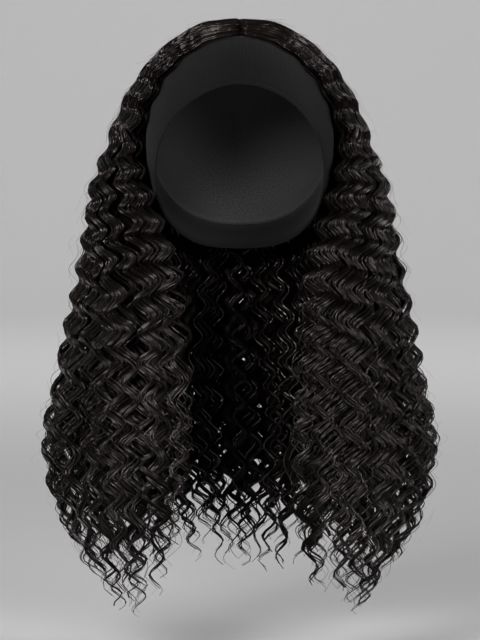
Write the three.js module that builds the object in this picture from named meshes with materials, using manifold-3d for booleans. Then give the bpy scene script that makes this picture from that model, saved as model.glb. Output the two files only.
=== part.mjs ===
// A headband half wig: a wide knit band round the hairline, a stretch cap behind it, and long
// deep-wave hair that is parted in the middle and falls in front of and behind the shoulders.
// Millimetres and degrees. +Z is up and the face looks along -Y. The origin is the inside of
// the cap at the crown, where the top of a head touches it.
import * as THREE from 'three';
import { mergeVertices } from 'three/addons/utils/BufferGeometryUtils.js';
import Module from 'manifold-3d';

const wasm = await Module();
wasm.setup();

// The head that the wig fits, as an ellipsoid whose six reaches differ.
const headHalfWidth = 77;
const headFrontDepth = 92;
const headBackDepth = 98;
const headCrownHeight = 95;
const headNapeDrop = 103;

// The knit band, a loop that leans back from the forehead to the nape.
const bandWidth = 57;
const bandThickness = 2.4;
const bandLean = 48;
const bandEdgeRoll = 1.1;

// The stretch cap, sewn to the band's rear edge.
const capThickness = 1.8;
const seamGap = 0.4;

// The hair. Its drop is measured down from the crown to the lowest tip.
const hairDrop = 490;
const hairHalfWidth = 162;
const hairFrontDepth = 126;
const hairBackDepth = 136;
const hollowHalfWidth = 118;
const hollowFrontDepth = 94;
const hollowBackDepth = 94;
const faceGapHalfWidth = 42;
const partingHeight = 9.5;
const partingFrontAngle = -24;
const partingBackAngle = 28;
const templeAngle = 86;
const rootSeat = 1.3;
const hairGap = 0.6;
const edgeTaper = 0.13;

// The wave that is set in every lock, how the locks divide, and how they thin out to their tips.
const waveLength = 25;
const waveDepth = 3.6;
const waveSwing = 3.4;
const lockGroove = 4.5;
const locksPerSection = 3;
const wallEnd = 0.89;
const thinningStart = 0.7;
const endThinning = 0.3;
const tipWidthShare = 0.26;
const tipDepthShare = 0.3;
const tipThickness = 2.2;

// How finely the faceted solids follow their curves.
const bandStations = 44;
const bandFacetsAcross = 4;
const capStations = 32;
const capRows = 8;
const domeSteps = 4;
const tipSides = 4;

// Latitude of the band's middle above its leaning plane, and its width, from the forehead to the nape.
const bandCourse = [
  { around: 0, middle: 1, widthShare: 1.0 },
  { around: 45, middle: -4, widthShare: 0.94 },
  { around: 90, middle: -12, widthShare: 0.86 },
  { around: 120, middle: -14.5, widthShare: 0.78 },
  { around: 150, middle: -11.5, widthShare: 0.64 },
  { around: 180, middle: -6, widthShare: 0.5 },
];

// Plan of the hanging hair, from the widest level of the head down to the tips. Lengths are
// shares of the hair's outer sizes. toGap is how far the face edge has turned from the temple
// to the face gap. The shoulder edges are angles from the front, round the plan.
const fallPlan = [
  { fall: 0.0, width: 0.7, front: 0.77, back: 1.0, toGap: 0, openAt: 126, closeAt: 130 },
  { fall: 0.09, width: 0.77, front: 0.8, back: 1.04, toGap: 0.25, openAt: 121, closeAt: 126 },
  { fall: 0.18, width: 0.81, front: 0.84, back: 1.07, toGap: 0.45, openAt: 115, closeAt: 120 },
  { fall: 0.29, width: 0.85, front: 0.9, back: 1.06, toGap: 0.7, openAt: 109, closeAt: 115 },
  { fall: 0.41, width: 0.91, front: 0.96, back: 1.04, toGap: 0.86, openAt: 103, closeAt: 110 },
  { fall: 0.54, width: 0.97, front: 1.0, back: 1.02, toGap: 0.95, openAt: 97, closeAt: 108 },
  { fall: 0.67, width: 1.06, front: 1.03, back: 1.0, toGap: 1, openAt: 90, closeAt: 109 },
  { fall: 0.8, width: 1.08, front: 1.04, back: 0.98, toGap: 1, openAt: 83, closeAt: 113 },
  { fall: 0.91, width: 1.0, front: 1.03, back: 0.95, toGap: 0.93, openAt: 79, closeAt: 118 },
  { fall: 1.0, width: 0.84, front: 1.0, back: 0.91, toGap: 0.8, openAt: 76, closeAt: 122 },
];

// The hollow inside the hair at the same levels, in shares of the hollow's sizes.
const hollowPlan = [
  { fall: 0.0, width: 0.7, front: 1.02, back: 1.08 },
  { fall: 0.09, width: 0.69, front: 0.98, back: 1.06 },
  { fall: 0.18, width: 0.65, front: 0.93, back: 0.97 },
  { fall: 0.29, width: 0.67, front: 0.9, back: 0.92 },
  { fall: 0.41, width: 0.78, front: 0.92, back: 0.94 },
  { fall: 0.54, width: 0.91, front: 0.96, back: 0.97 },
  { fall: 0.67, width: 1.0, front: 1.0, back: 1.0 },
  { fall: 0.8, width: 1.03, front: 1.05, back: 1.03 },
  { fall: 0.91, width: 0.97, front: 1.07, back: 1.08 },
  { fall: 1.0, width: 0.86, front: 1.1, back: 1.1 },
];

// How far down each lock reaches, from the face edge round to the middle of the back.
const lockReach = [
  { across: 0.0, reach: 0.93 },
  { across: 0.14, reach: 1.0 },
  { across: 0.28, reach: 0.97 },
  { across: 0.4, reach: 0.93 },
  { across: 0.5, reach: 0.88 },
  { across: 0.62, reach: 0.91 },
  { across: 0.8, reach: 0.94 },
  { across: 1.0, reach: 0.96 },
];

// The sections that the hair divides into on each side, as shares of the way round.
const sections = [
  { name: 'front_hair', from: 0.0, to: 0.25 },
  { name: 'side_hair', from: 0.25, to: 0.5 },
  { name: 'rear_hair', from: 0.5, to: 0.75 },
  { name: 'back_hair', from: 0.75, to: 1.0 },
];

const knitBlack = new THREE.MeshStandardMaterial({ color: 0x17171a, roughness: 0.95, metalness: 0 });
const capBlack = new THREE.MeshStandardMaterial({ color: 0x101012, roughness: 0.9, metalness: 0 });
const hairBlack = new THREE.MeshStandardMaterial({ color: 0x14110f, roughness: 0.45, metalness: 0 });

const radians = THREE.MathUtils.degToRad;
const degrees = THREE.MathUtils.radToDeg;
const { clamp, lerp, smoothstep } = THREE.MathUtils;
const sideways = new THREE.Vector3(1, 0, 0);
const headCentre = new THREE.Vector3(0, 0, -headCrownHeight);

// Reads a table at any value of one column, with a smooth curve through its rows.
function readTable(rows, by, at) {
  const last = rows.length - 1;
  const x = clamp(at, rows[0][by], rows[last][by]);
  let i = 0;
  while (i < last - 1 && x > rows[i + 1][by]) i += 1;
  const span = rows[i + 1][by] - rows[i][by];
  const t = (x - rows[i][by]) / span;
  const read = {};
  for (const column of Object.keys(rows[0])) {
    const slope = (j) => {
      if (j === 0 || j === last) return 0;
      return (rows[j + 1][column] - rows[j - 1][column]) / (rows[j + 1][by] - rows[j - 1][by]);
    };
    const rise = rows[i + 1][column] - rows[i][column];
    const start = slope(i) * span;
    const end = slope(i + 1) * span;
    read[column] = rows[i][column] + start * t + (3 * rise - 2 * start - end) * t * t
      + (start + end - 2 * rise) * t * t * t;
  }
  return read;
}

// Distance from the head's centre to its surface along a unit direction.
function headRadius(direction) {
  const deep = direction.y < 0 ? headFrontDepth : headBackDepth;
  const tall = direction.z > 0 ? headCrownHeight : headNapeDrop;
  return 1 / Math.hypot(direction.x / headHalfWidth, direction.y / deep, direction.z / tall);
}

function overHead(direction, lift) {
  return direction.clone().multiplyScalar(headRadius(direction) + lift).add(headCentre);
}

// A direction from the head's centre, by its turn round the band and its latitude above the band's plane.
function bandDirection(around, latitude) {
  const crownward = new THREE.Vector3(0, Math.sin(radians(bandLean)), Math.cos(radians(bandLean)));
  const forward = new THREE.Vector3(0, -Math.cos(radians(bandLean)), Math.sin(radians(bandLean)));
  const level = forward.multiplyScalar(Math.cos(radians(around)))
    .addScaledVector(sideways, Math.sin(radians(around)));
  return level.multiplyScalar(Math.cos(radians(latitude)))
    .addScaledVector(crownward, Math.sin(radians(latitude)));
}

// Latitudes of the band's face edge and hair edge at a turn round the loop.
function bandEdges(around) {
  const folded = around > 180 ? 360 - around : around;
  const course = readTable(bandCourse, 'around', folded);
  const radius = headRadius(bandDirection(around, course.middle));
  const half = degrees(bandWidth * course.widthShare / radius) / 2;
  return { low: course.middle - half, high: course.middle + half };
}

// Triangles between two rows of points that run the same way, whatever their counts.
function bridge(rowA, rowB, triangles) {
  let a = 0;
  let b = 0;
  while (a < rowA.length - 1 || b < rowB.length - 1) {
    const nextA = (a + 1) / (rowA.length - 1);
    const nextB = (b + 1) / (rowB.length - 1);
    const stepA = b === rowB.length - 1 || (a < rowA.length - 1 && nextA <= nextB);
    if (stepA) {
      triangles.push([rowA[a], rowA[a + 1], rowB[b]]);
      a += 1;
    } else {
      triangles.push([rowA[a], rowB[b + 1], rowB[b]]);
      b += 1;
    }
  }
}

// One closed mesh from a list of triangles of points, facing outwards.
function meshGeometry(triangles) {
  let volume = 0;
  for (const [p, q, r] of triangles) volume += p.dot(q.clone().cross(r));
  const positions = [];
  for (const [p, q, r] of triangles) {
    const turned = volume < 0 ? [p, r, q] : [p, q, r];
    for (const point of turned) positions.push(point.x, point.y, point.z);
  }
  const geometry = new THREE.BufferGeometry();
  geometry.setAttribute('position', new THREE.Float32BufferAttribute(positions, 3));
  return mergeVertices(geometry, 1e-4);
}

function toSolid(geometry) {
  return new wasm.Manifold(new wasm.Mesh({
    numProp: 3,
    vertProperties: geometry.attributes.position.array,
    triVerts: new Uint32Array(geometry.index.array),
  }));
}

function fromSolid(solid) {
  const mesh = solid.getMesh();
  const geometry = new THREE.BufferGeometry();
  geometry.setAttribute('position', new THREE.BufferAttribute(mesh.vertProperties, 3));
  geometry.setIndex(new THREE.BufferAttribute(mesh.triVerts, 1));
  return geometry;
}

// The band: a section across its width, with rolled edges, carried round the head.
function bandSection(around) {
  const { low, high } = bandEdges(around);
  const roll = (high - low) * bandEdgeRoll / bandWidth;
  const inner = [];
  const outer = [];
  for (let k = 0; k <= bandFacetsAcross; k += 1) {
    const latitude = lerp(low + roll, high - roll, k / bandFacetsAcross);
    inner.push(overHead(bandDirection(around, latitude), 0));
    outer.push(overHead(bandDirection(around, latitude), bandThickness));
  }
  const faceEdge = overHead(bandDirection(around, low), bandThickness / 2);
  const hairEdge = overHead(bandDirection(around, high), bandThickness / 2);
  return [faceEdge, ...outer, hairEdge, ...inner.reverse()];
}

function headband() {
  const rings = [];
  for (let i = 0; i < bandStations; i += 1) rings.push(bandSection(360 * i / bandStations));
  const triangles = [];
  rings.forEach((ring, i) => {
    const next = rings[(i + 1) % bandStations];
    bridge([...ring, ring[0]], [...next, next[0]], triangles);
  });
  return meshGeometry(triangles);
}

// The cap: an inner and an outer dome from the band's rear edge to the band's pole.
function capRow(row, lift) {
  const points = [];
  const seam = degrees(seamGap / headHalfWidth);
  for (let i = 0; i < capStations; i += 1) {
    const around = 360 * i / capStations;
    const latitude = lerp(bandEdges(around).high + seam, 90, row / capRows);
    points.push(overHead(bandDirection(around, latitude), lift));
  }
  return [...points, points[0]];
}

function stretchCap() {
  const triangles = [];
  const inner = [];
  const outer = [];
  for (let row = 0; row < capRows; row += 1) {
    inner.push(capRow(row, 0));
    outer.push(capRow(row, capThickness));
  }
  bridge(inner[0], outer[0], triangles);
  for (let row = 1; row < capRows; row += 1) {
    bridge(outer[row - 1], outer[row], triangles);
    bridge(inner[row], inner[row - 1], triangles);
  }
  const poleOut = overHead(bandDirection(0, 90), capThickness);
  const poleIn = overHead(bandDirection(0, 90), 0);
  const lastOut = outer[capRows - 1];
  const lastIn = inner[capRows - 1];
  for (let i = 0; i < capStations; i += 1) {
    triangles.push([lastOut[i], lastOut[i + 1], poleOut]);
    triangles.push([lastIn[i + 1], lastIn[i], poleIn]);
  }
  return meshGeometry(triangles);
}

// How much of its full thickness the hair has: it thins at the face edge and at the shoulder split.
function thicknessShare(across) {
  const fromFace = smoothstep(across, -edgeTaper / 2, edgeTaper);
  const fromSplit = smoothstep(Math.abs(across - 0.5), -edgeTaper, edgeTaper);
  return fromFace * fromSplit;
}

// Angle round the plan at one level, by the share of the way from the face edge to the back.
function planAngle(row, across) {
  const gapEdge = degrees(Math.asin(faceGapHalfWidth / hollowHalfWidth));
  if (across <= 0.5) return lerp(lerp(templeAngle, gapEdge, row.toGap), row.openAt, across * 2);
  return lerp(row.closeAt, 180, across * 2 - 1);
}

function planPoint(halfWidth, front, back, angle, z) {
  const deep = angle < 90 ? front : back;
  return new THREE.Vector3(halfWidth * Math.sin(radians(angle)), -deep * Math.cos(radians(angle)), z);
}

// Moves a point away from the head's centre until it lies a given lift over the head.
function clearOfHead(point, lift) {
  const direction = point.clone().sub(headCentre);
  const reach = direction.length();
  direction.normalize();
  return overHead(direction, Math.max(lift, reach - headRadius(direction)));
}

// The hair's inner and outer guide curves at a share of the way round one side, from the parting
// over the dome to the widest level of the head, and then down to the tip.
function guide(across) {
  const inner = [];
  const outer = [];
  const share = thicknessShare(across);
  const seat = Math.max(capThickness, bandThickness) + rootSeat;
  const lean = radians(lerp(partingFrontAngle, partingBackAngle, across));
  const root = new THREE.Vector3(0, Math.sin(lean), Math.cos(lean));
  const top = fallPlan[0];
  const level = planPoint(1, 1, 1, planAngle(top, across), 0);
  const topReach = planPoint(hairHalfWidth * top.width, hairFrontDepth * top.front,
    hairBackDepth * top.back, planAngle(top, across), 0).length();
  const sideLift = lerp(seat, topReach - headRadius(level), share);
  for (let k = 0; k < domeSteps; k += 1) {
    const u = k / domeSteps;
    const direction = root.clone().lerp(level, u).normalize();
    const lift = lerp(partingHeight, sideLift, u ** 1.6);
    inner.push(overHead(direction, seat));
    outer.push(overHead(direction, Math.max(lift, seat + tipThickness)));
  }
  const reach = readTable(lockReach, 'across', across).reach * hairDrop;
  for (const row of fallPlan) {
    const hollow = readTable(hollowPlan, 'fall', row.fall);
    const z = lerp(-headCrownHeight, -reach, row.fall);
    const angle = planAngle(row, across);
    const near = clearOfHead(planPoint(hollowHalfWidth * hollow.width,
      hollowFrontDepth * hollow.front, hollowBackDepth * hollow.back, angle, z), seat);
    const far = planPoint(hairHalfWidth * row.width,
      hairFrontDepth * row.front, hairBackDepth * row.back, angle, z);
    const outward = planPoint(1, 1, 1, angle, 0);
    const thickness = Math.max(far.clone().sub(near).dot(outward), 3 * tipThickness) * share;
    inner.push(near);
    outer.push(near.clone().addScaledVector(outward, thickness));
  }
  const middle = inner.map((point, i) => point.clone().lerp(outer[i], 0.5));
  return {
    inner: new THREE.CatmullRomCurve3(inner),
    outer: new THREE.CatmullRomCurve3(outer),
    middle: new THREE.CatmullRomCurve3(middle),
  };
}

// A point of the hair by its share of the way along a guide and its depth, 0 inside and 1 outside.
function hairPoint(curves, along, depth) {
  const t = curves.middle.getUtoTmapping(along);
  return curves.inner.getPoint(t).lerp(curves.outer.getPoint(t), depth);
}

// The hair's outward and sideways directions at a share of the way along a guide.
function hairFrame(curves, along) {
  const t = curves.middle.getUtoTmapping(along);
  const across = curves.outer.getPoint(t).sub(curves.inner.getPoint(t));
  const out = across.clone().normalize();
  const side = curves.middle.getTangent(t).cross(out).normalize();
  return { out, side, full: across.length() };
}

const halfWaves = 2 * Math.round((hairDrop + headHalfWidth) / waveLength);

// The set wave: every half wave the lock swings the other way, out from the head and sideways.
// It grows from the smooth roots, and at the middle of the back it swings only out.
function waved(point, curves, across, step, outward) {
  const along = step / halfWaves;
  const { out, side } = hairFrame(curves, along);
  const grown = smoothstep(along, 0.02, 0.2);
  const turn = step % 2 === 0 ? 1 : -1;
  return point.addScaledVector(out, turn * waveDepth * grown * outward)
    .addScaledVector(side, turn * waveSwing * grown * (1 - across ** 8));
}

// One row of a section's wall at a step down the hair: crests and grooves outside, plain inside.
function wallRow(section, step, outside, columns) {
  const row = [];
  const along = step / halfWaves;
  const thinned = endThinning * smoothstep(along, thinningStart, wallEnd);
  const groove = lockGroove * smoothstep(along, 0, 0.3);
  for (let i = 0; i <= columns; i += 1) {
    const across = lerp(section.from, section.to, i / columns);
    const curves = section.curves(across);
    const point = hairPoint(curves, along, outside ? 1 - thinned : thinned);
    waved(point, curves, across, step, outside ? 1 : 0.25);
    if (outside && i % 2 === 0) point.addScaledVector(hairFrame(curves, along).out, -groove);
    row.push(point);
  }
  return row;
}

// The flank of a wall at its first or last column. Both flanks of a parting split their quads
// along the same diagonal, so that neighbouring sections follow each other.
function flank(here, next, column, triangles) {
  const corners = [here.inner, here.outer, next.outer, next.inner].map((row) => row.at(column));
  const [low, out, far, near] = column === 0 ? [corners[0], corners[3], corners[2], corners[1]] : corners;
  triangles.push([low, out, far], [low, far, near]);
}

function sectionWall(section) {
  const triangles = [];
  const rows = [];
  const last = Math.round(wallEnd * halfWaves);
  for (let step = 0; step <= last; step += 1) {
    const outer = wallRow(section, step, true, locksPerSection * 2);
    const inner = wallRow(section, step, false, locksPerSection);
    rows.push({ outer, inner });
  }
  bridge(rows[0].outer, rows[0].inner, triangles);
  bridge(rows[last].inner, rows[last].outer, triangles);
  for (let i = 0; i < last; i += 1) {
    bridge(rows[i + 1].outer, rows[i].outer, triangles);
    bridge(rows[i].inner, rows[i + 1].inner, triangles);
    flank(rows[i], rows[i + 1], 0, triangles);
    flank(rows[i], rows[i + 1], -1, triangles);
  }
  return toSolid(meshGeometry(triangles));
}

// The free end of one lock, a tapering tube that keeps the wave and grows out of the wall.
function lockTip(section, lock) {
  const across = lerp(section.from, section.to, (lock + 0.5) / locksPerSection);
  const halfLock = (section.to - section.from) / locksPerSection / 2;
  const curves = section.curves(across);
  const edges = [section.curves(across - halfLock), section.curves(across + halfLock)];
  const first = Math.round(wallEnd * halfWaves) - 1;
  const rings = [];
  for (let step = first; step <= halfWaves; step += 1) {
    const along = step / halfWaves;
    const { out, side, full } = hairFrame(curves, along);
    const centre = waved(hairPoint(curves, along, 0.5), curves, across, step, 1);
    const left = (halfWaves - step) / (halfWaves - first);
    const lockWidth = hairPoint(edges[0], along, 0.5).distanceTo(hairPoint(edges[1], along, 0.5));
    const spread = lockWidth * tipWidthShare * left + tipThickness / 2;
    const deep = full * tipDepthShare * left + tipThickness / 2;
    const ring = [];
    for (let k = 0; k < tipSides; k += 1) {
      const turn = 2 * Math.PI * k / tipSides;
      ring.push(centre.clone().addScaledVector(side, spread * Math.cos(turn))
        .addScaledVector(out, deep * Math.sin(turn)));
    }
    rings.push(ring);
  }
  const triangles = [];
  for (let i = 0; i < rings.length - 1; i += 1) {
    bridge([...rings[i + 1], rings[i + 1][0]], [...rings[i], rings[i][0]], triangles);
  }
  for (const end of [rings[0], rings.at(-1).slice().reverse()]) {
    for (let k = 1; k < tipSides - 1; k += 1) triangles.push([end[0], end[k], end[k + 1]]);
  }
  return toSolid(meshGeometry(triangles));
}

// A section with its guides, worked out once for each share of the way round. They stay half a
// gap inside the section's own edges, so that neighbouring sections never meet.
function withGuides(section) {
  const known = new Map();
  const partingLength = headCrownHeight * radians(partingBackAngle - partingFrontAngle);
  const inset = hairGap / partingLength / 2;
  const curves = (across) => {
    const key = across.toFixed(5);
    if (!known.has(key)) known.set(key, guide(clamp(across, section.from + inset, section.to - inset)));
    return known.get(key);
  };
  return { ...section, curves };
}

function hairSection(section) {
  const guided = withGuides(section);
  let solid = sectionWall(guided);
  for (let lock = 0; lock < locksPerSection; lock += 1) solid = solid.add(lockTip(guided, lock));
  return solid.translate([hairGap / 2, 0, 0]);
}

function named(name, geometry, material) {
  const mesh = new THREE.Mesh(geometry, material);
  mesh.name = name;
  return mesh;
}

const wig = new THREE.Group();
wig.add(named('headband', headband(), knitBlack));
wig.add(named('stretch_cap', stretchCap(), capBlack));
for (const section of sections) {
  const solid = hairSection(section);
  wig.add(named(`${section.name}_left`, fromSolid(solid), hairBlack));
  wig.add(named(`${section.name}_right`, fromSolid(solid.mirror([1, 0, 0])), hairBlack));
}

export default wig;
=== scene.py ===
# %% [markdown]
# # A headband half wig, dressed round its frame
# Long deep-wave hair hangs from a stretch cap, and a wide knit band holds the cap in place.
# The frame is the wig's plain solid model. It fixes every size. The pieces below are made in
# the same metres, so each one lands where its solid is, and the solid is then hidden.

import math

import bmesh
import bpy
import numpy as np
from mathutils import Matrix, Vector


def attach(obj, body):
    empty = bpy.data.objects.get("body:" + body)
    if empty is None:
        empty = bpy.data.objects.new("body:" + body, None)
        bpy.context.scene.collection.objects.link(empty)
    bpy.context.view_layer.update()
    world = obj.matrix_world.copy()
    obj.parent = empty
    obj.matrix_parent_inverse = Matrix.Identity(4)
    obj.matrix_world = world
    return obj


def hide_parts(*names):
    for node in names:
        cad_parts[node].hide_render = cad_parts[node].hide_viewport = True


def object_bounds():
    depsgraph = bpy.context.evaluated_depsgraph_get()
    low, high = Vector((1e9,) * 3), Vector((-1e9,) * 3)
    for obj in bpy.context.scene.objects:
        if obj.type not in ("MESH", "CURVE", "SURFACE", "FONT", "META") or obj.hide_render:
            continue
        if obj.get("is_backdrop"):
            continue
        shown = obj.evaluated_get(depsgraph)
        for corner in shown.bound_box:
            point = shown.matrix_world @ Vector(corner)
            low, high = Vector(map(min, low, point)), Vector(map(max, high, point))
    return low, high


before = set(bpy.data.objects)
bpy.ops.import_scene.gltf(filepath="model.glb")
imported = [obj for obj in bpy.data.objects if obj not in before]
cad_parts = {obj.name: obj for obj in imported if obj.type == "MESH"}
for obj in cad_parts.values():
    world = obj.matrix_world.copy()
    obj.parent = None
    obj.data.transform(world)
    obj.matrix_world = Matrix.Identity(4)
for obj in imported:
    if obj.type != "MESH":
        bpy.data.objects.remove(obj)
frame_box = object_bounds()
print("frame nodes:", len(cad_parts), "box:", [tuple(round(x, 3) for x in c) for c in frame_box])

# %% [markdown]
# ## Camera
# A wig is photographed straight from the front and from well back, so that its long sides
# stay parallel. The camera stands level with the crown and looks down a little, to the middle
# of the hair. The lens follows from how much height the picture takes in.

# %% Camera
camera_distance = 4.0
camera_aim = Vector((0, 0, -0.246))
camera_elevation = math.radians(3)
picture_height = 0.544
sensor_size = 36.0

camera_data = bpy.data.cameras.new("camera")
camera_data.sensor_width = sensor_size
camera_data.lens = sensor_size * camera_distance / picture_height
camera = bpy.data.objects.new("camera", camera_data)
camera.location = camera_aim + camera_distance * Vector(
    (0, -math.cos(camera_elevation), math.sin(camera_elevation)))
camera.rotation_euler = (math.radians(90) - camera_elevation, 0, 0)
bpy.context.scene.collection.objects.link(camera)
bpy.context.scene.camera = camera
print("lens:", round(camera_data.lens, 1), "mm")

# %% [markdown]
# ## Floor and light
# A plain pale sheet that curves up behind the wig gives an even backdrop with no horizon.
# Black hair shows its wave only by its reflections, so soft panels stand high in front, on
# the other side, above, behind and beside the hair. The large ones light only the backdrop.
# Past the sheet's ends the room shows as pale as the sheet does, but lights the hair little.

# %% A grid that is bent into place
def bent_grid(name, columns, rows, place, closed=False):
    """A mesh grid with a UV map, moved by place(across, up), both from 0 to 1."""
    bm = bmesh.new()
    bm.loops.layers.uv.new("UVMap")
    bmesh.ops.create_grid(bm, x_segments=columns, y_segments=rows, size=0.5, calc_uvs=True)
    flat = np.array([v.co[:2] for v in bm.verts]) + 0.5
    for vertex, point in zip(bm.verts, place(flat[:, 0], flat[:, 1])):
        vertex.co = point
    if closed:
        bmesh.ops.remove_doubles(bm, verts=bm.verts, dist=1e-6)
        bmesh.ops.recalc_face_normals(bm, faces=bm.faces)
    mesh = bpy.data.meshes.new(name)
    bm.to_mesh(mesh)
    bm.free()
    for polygon in mesh.polygons:
        polygon.use_smooth = True
    made = bpy.data.objects.new(name, mesh)
    bpy.context.scene.collection.objects.link(made)
    return made


print("grid helper ready")

# %% Backdrop
floor_level = -0.53
floor_front = -7.6
cove_start = 5.6
cove_radius = 2.0
wall_rise = 4.4
backdrop_half_width = 8.0
# Shares of the sheet's rows at which its flat, its turn and its wall begin and end.
backdrop_marks = [0, 0.4, 0.8, 1]


def backdrop_place(across, up):
    """Flat floor, then a quarter turn, then a wall."""
    cove_end = cove_start + cove_radius
    reach = np.interp(up, backdrop_marks, [floor_front, cove_start, cove_end, cove_end + wall_rise])
    turn = np.clip((reach - cove_start) / cove_radius, 0, 1) * math.pi / 2
    rise = np.maximum(reach - cove_start - cove_radius, 0)
    y = np.minimum(reach, cove_start) + cove_radius * np.sin(turn)
    z = floor_level + cove_radius * (1 - np.cos(turn)) + rise
    return np.stack([(across - 0.5) * 2 * backdrop_half_width, y, z], axis=1)


backdrop = bent_grid("backdrop", 4, 60, backdrop_place)
backdrop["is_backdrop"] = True

paper = bpy.data.materials.new("backdrop_paper")
paper.use_nodes = True
paper_shader = paper.node_tree.nodes["Principled BSDF"]
paper_shader.inputs["Base Color"].default_value = (0.56, 0.555, 0.56, 1)
paper_shader.inputs["Roughness"].default_value = 0.95
paper_shader.inputs["Specular IOR Level"].default_value = 0.1
backdrop.data.materials.append(paper)
print("backdrop faces:", len(backdrop.data.polygons))

# %% Lights
hair_middle = Vector((0, 0, -0.25))
cove_middle = Vector((0, 6.8, 0.1))
floor_middle = Vector((0, 1.9, floor_level))


def soft_panel(name, place, aim, width, height, power, spread=180):
    """A rectangular panel of light turned towards a point. A small spread is a gridded panel."""
    data = bpy.data.lights.new(name, "AREA")
    data.shape = "RECTANGLE"
    data.spread = math.radians(spread)
    data.size = width
    data.size_y = height
    data.energy = power
    panel = bpy.data.objects.new(name, data)
    panel.location = place
    panel.rotation_euler = (aim - Vector(place)).to_track_quat("-Z", "Y").to_euler()
    bpy.context.scene.collection.objects.link(panel)


soft_panel("front_panel", (-0.8, -2.2, 0.65), hair_middle, 0.8, 0.8, 60)
soft_panel("second_panel", (1.3, -2.0, 0.2), hair_middle, 0.6, 1.0, 31)
soft_panel("top_panel", (0, -0.1, 1.5), hair_middle, 0.8, 0.5, 2.5)
soft_panel("left_panel", (2.2, 0.4, 0.4), hair_middle, 0.45, 1.3, 5, spread=90)
soft_panel("right_panel", (-2.2, 0.4, 0.4), hair_middle, 0.45, 1.3, 5, spread=90)
soft_panel("rear_panel", (0.6, 1.7, 0.9), hair_middle, 0.8, 0.8, 3)
soft_panel("floor_panel", (0, 1.4, 3.2), floor_middle, 3.0, 2.0, 11)
soft_panel("cove_panel", (0, 3.2, 3.6), cove_middle, 5.0, 2.0, 206)
overhead = 3.2
for name, x, y, width, height in [("fore_panel", 0, -5.2, 7.0, 3.0),
                                  ("left_floor_panel", 5.2, 0.4, 3.0, 7.0),
                                  ("right_floor_panel", -5.2, 0.4, 3.0, 7.0)]:
    below = Vector((x, y, floor_level))
    soft_panel(name, (x, y, overhead), below, width, height, 110, spread=80)

# %% The room
world = bpy.data.worlds.new("studio")
world.use_nodes = True
room = world.node_tree
lit_room = room.nodes["Background"]
lit_room.inputs["Color"].default_value = (0.96, 0.97, 1.0, 1)
lit_room.inputs["Strength"].default_value = 0.03
seen_room = room.nodes.new("ShaderNodeBackground")
seen_room.inputs["Color"].default_value = (0.99, 0.985, 1.0, 1)
seen_room.inputs["Strength"].default_value = 0.44
room_choice = room.nodes.new("ShaderNodeMixShader")
ray_kind = room.nodes.new("ShaderNodeLightPath")
room.links.new(ray_kind.outputs["Is Camera Ray"], room_choice.inputs["Fac"])
room.links.new(lit_room.outputs["Background"], room_choice.inputs[1])
room.links.new(seen_room.outputs["Background"], room_choice.inputs[2])
room.links.new(room_choice.outputs["Shader"], room.nodes["World Output"].inputs["Surface"])
bpy.context.scene.world = world
bpy.context.scene.view_settings.view_transform = "Standard"
print("room nodes:", len(room.nodes))

# %% [markdown]
# ## The form that everything follows
# The band, the cap and the roots of the hair all lie over one rounded form, of the size that
# the wig is worn at. A scaled sphere would be too even, so it is an ellipsoid whose six
# reaches differ. No mesh is made of it: each piece is lifted off it by its own height.

# %% The worn form
head_half_width = 0.077
head_front_depth = 0.092
head_back_depth = 0.098
head_crown_height = 0.095
head_nape_drop = 0.103
head_centre = np.array([0, 0, -head_crown_height])


def unit(vectors):
    """Each vector at length 1."""
    return vectors / np.maximum(np.linalg.norm(vectors, axis=-1, keepdims=True), 1e-12)


def head_radius(direction):
    """Distance from the form's centre to its surface along each unit direction."""
    deep = np.where(direction[..., 1] < 0, head_front_depth, head_back_depth)
    tall = np.where(direction[..., 2] > 0, head_crown_height, head_nape_drop)
    scaled = np.stack([direction[..., 0] / head_half_width, direction[..., 1] / deep,
                       direction[..., 2] / tall], axis=-1)
    return 1 / np.linalg.norm(scaled, axis=-1)


def over_head(direction, lift):
    """Points at a lift over the form, along unit directions from its centre."""
    return head_centre + direction * (head_radius(direction) + lift)[..., None]


def clear_of_head(points, lift):
    """Moves any point that lies lower than a lift over the form out to that lift."""
    reach = np.linalg.norm(points - head_centre, axis=-1)
    direction = unit(points - head_centre)
    return over_head(direction, np.maximum(lift, reach - head_radius(direction)))


def smoothstep(x, low, high):
    """A soft rise from 0 at low to 1 at high."""
    t = np.clip((x - low) / (high - low), 0, 1)
    return t * t * (3 - 2 * t)


def smooth_read(xs, ys, at):
    """Reads one column of a table: a curve through its rows, level at both ends."""
    xs, ys, at = np.asarray(xs, float), np.asarray(ys, float), np.asarray(at, float)
    slopes = np.zeros(len(xs))
    slopes[1:-1] = (ys[2:] - ys[:-2]) / (xs[2:] - xs[:-2])
    x = np.clip(at, xs[0], xs[-1])
    i = np.clip(np.searchsorted(xs, x, side="right") - 1, 0, len(xs) - 2)
    span = xs[i + 1] - xs[i]
    t = (x - xs[i]) / span
    rise = ys[i + 1] - ys[i]
    start, end = slopes[i] * span, slopes[i + 1] * span
    return ys[i] + start * t + (3 * rise - 2 * start - end) * t**2 + (start + end - 2 * rise) * t**3


crown = over_head(np.array([0.0, 0.0, 1.0]), np.array(0.0))
print("crown at z =", abs(round(float(crown[2]), 4)))

# %% [markdown]
# ## The knit band
# The band is a loop of soft rib knit, folded at both edges, that leans back from the
# forehead to the nape and narrows behind. A strip with a Solidify modifier would have square
# edges, so one closed section with rolled edges, and a hem pressed in near each, is carried
# round the form. The ribs are real relief, so they catch the light.

# %% The band's course
band_lean = math.radians(48)
band_width = 0.057
band_thickness = 0.0024
band_around = [0, 45, 90, 120, 150, 180]
band_middle = [1, -4, -12, -14.5, -11.5, -6]
band_width_share = [1.0, 0.94, 0.86, 0.78, 0.64, 0.5]


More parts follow.
